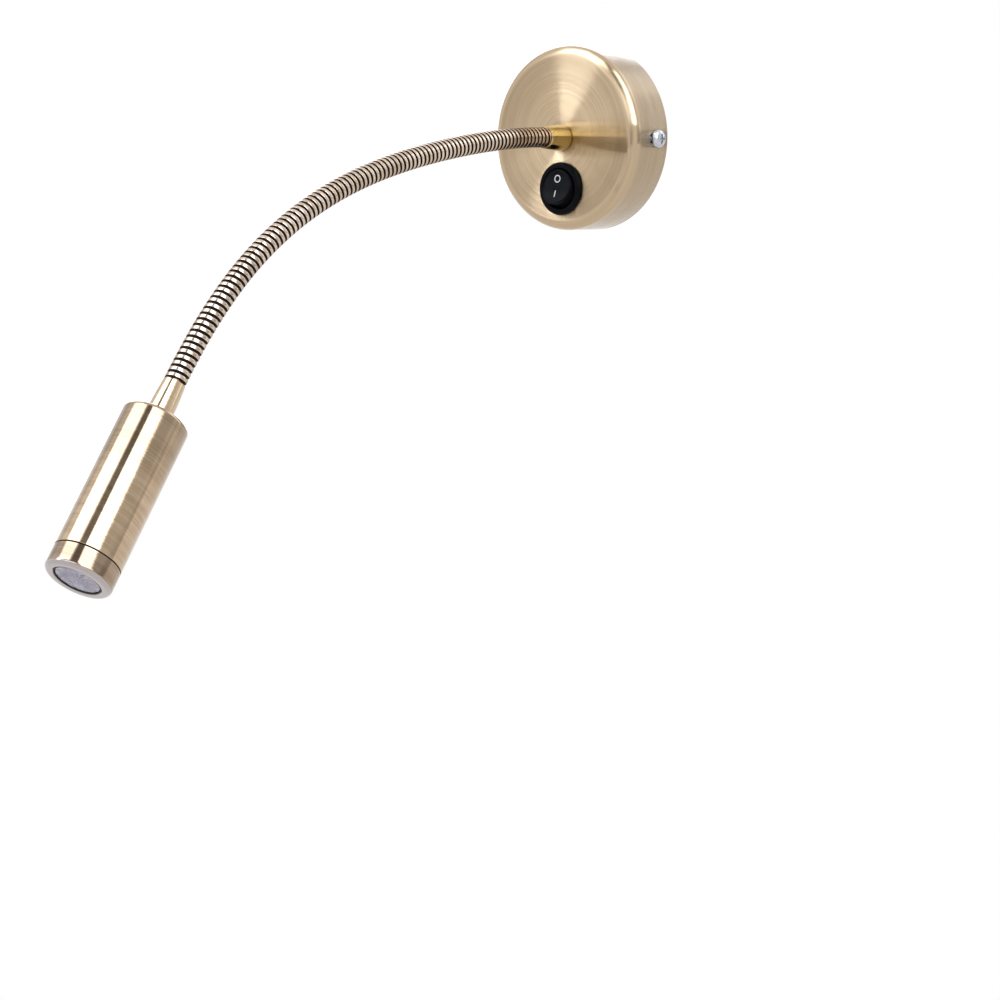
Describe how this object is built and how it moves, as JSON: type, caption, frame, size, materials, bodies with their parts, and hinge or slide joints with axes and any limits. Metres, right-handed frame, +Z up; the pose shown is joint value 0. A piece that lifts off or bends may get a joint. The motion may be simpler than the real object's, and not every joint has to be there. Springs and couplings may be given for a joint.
{
  "type": "bedside wall reading lamp",
  "caption": "Wall reading lamp with a round canopy, a rocker switch, a ribbed flexible neck and a small cylindrical LED head.",
  "frame": {"origin": "centre of the canopy's open back, on the wall plane, midway between the two wall screw slots", "axes": "+Y points into the wall, the lamp stands out along -Y, +Z is up and +X is to the right of a person who faces the wall"},
  "size_m": [0.0852, 0.3151, 0.2105],
  "materials": {
    "brushed_brass": "brushed antique brass, clear lacquered",
    "polished_brass": "polished brass",
    "neck_brass": "satin brass plating on a ribbed steel hose",
    "zinc_steel": "zinc plated",
    "switch_black": "gloss moulded black",
    "tinned_brass": "tin plated",
    "block_white": "moulded white",
    "driver_white": "moulded white",
    "pad_foam": "grey foam tape",
    "lead_blue": "blue insulation",
    "lead_brown": "brown insulation",
    "cable_clear": "black two-core cable",
    "sink_aluminium": "turned aluminium",
    "board_white": "white solder mask on aluminium",
    "emitter_yellow": "phosphor under a clear dome",
    "lens_clear": "clear moulded collimating lens",
    "holder_black": "moulded black",
    "seal_black": "black rubber"
  },
  "bodies": {
    "base": {"canopy": "brushed_brass", "wall_bracket": "zinc_steel", "side_screws": "zinc_steel", "base_ferrule": "polished_brass", "lock_washer": "zinc_steel", "neck_nut": "zinc_steel", "switch_housing": "switch_black", "switch_terminals": "tinned_brass", "terminal_block": "block_white", "terminal_screws": "zinc_steel", "earth_tag": "tinned_brass", "earth_screw": "zinc_steel", "driver_pad": "pad_foam", "led_driver": "driver_white", "neutral_lead": "lead_blue", "supply_lead": "lead_brown", "switched_lead": "lead_brown", "neck_root": "neck_brass", "base_cable": "cable_clear"},
    "neck_01": {"neck_link_01": "neck_brass", "neck_cable_01": "cable_clear"},
    "neck_02": {"neck_link_02": "neck_brass", "neck_cable_02": "cable_clear"},
    "neck_03": {"neck_link_03": "neck_brass", "neck_cable_03": "cable_clear"},
    "neck_04": {"neck_link_04": "neck_brass", "neck_cable_04": "cable_clear"},
    "neck_05": {"neck_link_05": "neck_brass", "neck_cable_05": "cable_clear"},
    "neck_06": {"neck_link_06": "neck_brass", "neck_cable_06": "cable_clear"},
    "neck_07": {"neck_link_07": "neck_brass", "neck_cable_07": "cable_clear"},
    "neck_08": {"neck_link_08": "neck_brass", "neck_cable_08": "cable_clear"},
    "neck_09": {"neck_link_09": "neck_brass", "neck_cable_09": "cable_clear"},
    "neck_10": {"neck_link_10": "neck_brass", "neck_cable_10": "cable_clear"},
    "neck_11": {"neck_link_11": "neck_brass", "neck_cable_11": "cable_clear"},
    "head": {"neck_tip": "neck_brass", "head_ferrule": "polished_brass", "head_housing": "brushed_brass", "head_washer": "zinc_steel", "head_nut": "zinc_steel", "heat_sink": "sink_aluminium", "led_board": "board_white", "board_screws": "zinc_steel", "led_emitter": "emitter_yellow", "lens": "lens_clear", "lens_holder": "holder_black", "seal_ring": "seal_black", "bezel_ring": "brushed_brass", "head_cable": "cable_clear"},
    "rocker": {"switch_rocker": "switch_black"}
  },
  "joints": [
    {"name": "neck_bend_near", "type": "hinge", "parent": "base", "child": "neck_01", "pos_m": [0, -0.0457, 0], "axis": [1, 0, 0], "range_deg": [-12.5, 9]},
    {"name": "neck_swing", "type": "hinge", "parent": "neck_01", "child": "neck_02", "pos_m": [0, -0.06605, -0.00146], "axis": [0, -0.095, 0.9955], "range_deg": [-12, 12]},
    {"name": "neck_bend_near_2", "type": "hinge", "parent": "neck_02", "child": "neck_03", "pos_m": [0, -0.0863, -0.00387], "axis": [1, 0, 0], "range_deg": [-12.5, 9]},
    {"name": "neck_bend_near_3", "type": "hinge", "parent": "neck_03", "child": "neck_04", "pos_m": [0, -0.10645, -0.0071], "axis": [1, 0, 0], "range_deg": [-12.5, 9]},
    {"name": "neck_swing_2", "type": "hinge", "parent": "neck_04", "child": "neck_05", "pos_m": [0, -0.12642, -0.01124], "axis": [0, -0.2317, 0.9728], "range_deg": [-12, 12]},
    {"name": "neck_bend_near_4", "type": "hinge", "parent": "neck_05", "child": "neck_06", "pos_m": [0, -0.14612, -0.01655], "axis": [1, 0, 0], "range_deg": [-12.5, 9]},
    {"name": "neck_bend_far", "type": "hinge", "parent": "neck_06", "child": "neck_07", "pos_m": [0, -0.16533, -0.02343], "axis": [1, 0, 0], "range_deg": [-15, 11]},
    {"name": "neck_swing_3", "type": "hinge", "parent": "neck_07", "child": "neck_08", "pos_m": [0, -0.18375, -0.03218], "axis": [0, -0.4802, 0.8771], "range_deg": [-12, 12]},
    {"name": "neck_bend_far_2", "type": "hinge", "parent": "neck_08", "child": "neck_09", "pos_m": [0, -0.20105, -0.04299], "axis": [1, 0, 0], "range_deg": [-15, 11]},
    {"name": "neck_bend_far_3", "type": "hinge", "parent": "neck_09", "child": "neck_10", "pos_m": [0, -0.21686, -0.05588], "axis": [1, 0, 0], "range_deg": [-15, 11]},
    {"name": "neck_swing_4", "type": "hinge", "parent": "neck_10", "child": "neck_11", "pos_m": [0, -0.23101, -0.07058], "axis": [0, -0.7547, 0.6561], "range_deg": [-12, 12]},
    {"name": "neck_bend_far_4", "type": "hinge", "parent": "neck_11", "child": "head", "pos_m": [0, -0.2436, -0.08664], "axis": [1, 0, 0], "range_deg": [-15, 11]},
    {"name": "switch_rock", "type": "hinge", "parent": "base", "child": "rocker", "pos_m": [0, -0.0235, -0.022], "axis": [1, 0, 0], "range_deg": [0, 28]}
  ],
  "couplings": [
    {"joint": "neck_bend_near_2", "follows": "neck_bend_near", "ratio": 1},
    {"joint": "neck_bend_near_3", "follows": "neck_bend_near", "ratio": 1},
    {"joint": "neck_bend_near_4", "follows": "neck_bend_near", "ratio": 1},
    {"joint": "neck_bend_far_2", "follows": "neck_bend_far", "ratio": 1},
    {"joint": "neck_bend_far_3", "follows": "neck_bend_far", "ratio": 1},
    {"joint": "neck_bend_far_4", "follows": "neck_bend_far", "ratio": 1},
    {"joint": "neck_swing_2", "follows": "neck_swing", "ratio": 1},
    {"joint": "neck_swing_3", "follows": "neck_swing", "ratio": 1},
    {"joint": "neck_swing_4", "follows": "neck_swing", "ratio": 1}
  ]
}
